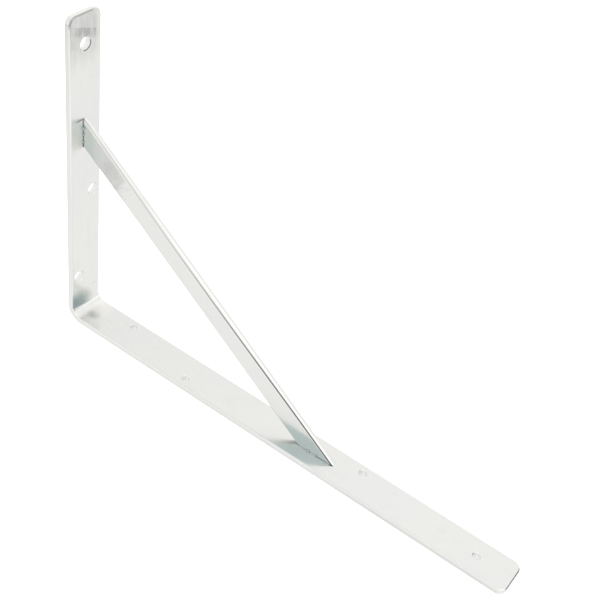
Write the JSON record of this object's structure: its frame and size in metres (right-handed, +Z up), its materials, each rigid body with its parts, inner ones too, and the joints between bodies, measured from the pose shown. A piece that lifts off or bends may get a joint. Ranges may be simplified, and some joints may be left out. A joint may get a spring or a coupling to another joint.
{
  "type": "shelf bracket",
  "caption": "Heavy-duty steel shelf bracket: a flat bar folded into an L with rounded ends and staggered screw holes, stiffened by a welded diagonal brace set on edge.",
  "frame": {"origin": "middle of the long arm's outer face, which is the footprint the bracket stands on", "axes": "+X along the long arm from the bend to its free end, +Y across the bar, +Z up along the short arm"},
  "size_m": [0.4, 0.03, 0.265],
  "materials": {
    "zinc_plated_steel": "bright zinc plating, slightly streaked along the bar",
    "plated_weld": "zinc plated weld metal, slightly rough"
  },
  "bodies": {
    "root": {"angle_bar": "zinc_plated_steel", "brace": "zinc_plated_steel", "upper_weld": "plated_weld", "lower_weld": "plated_weld"}
  },
  "joints": []
}
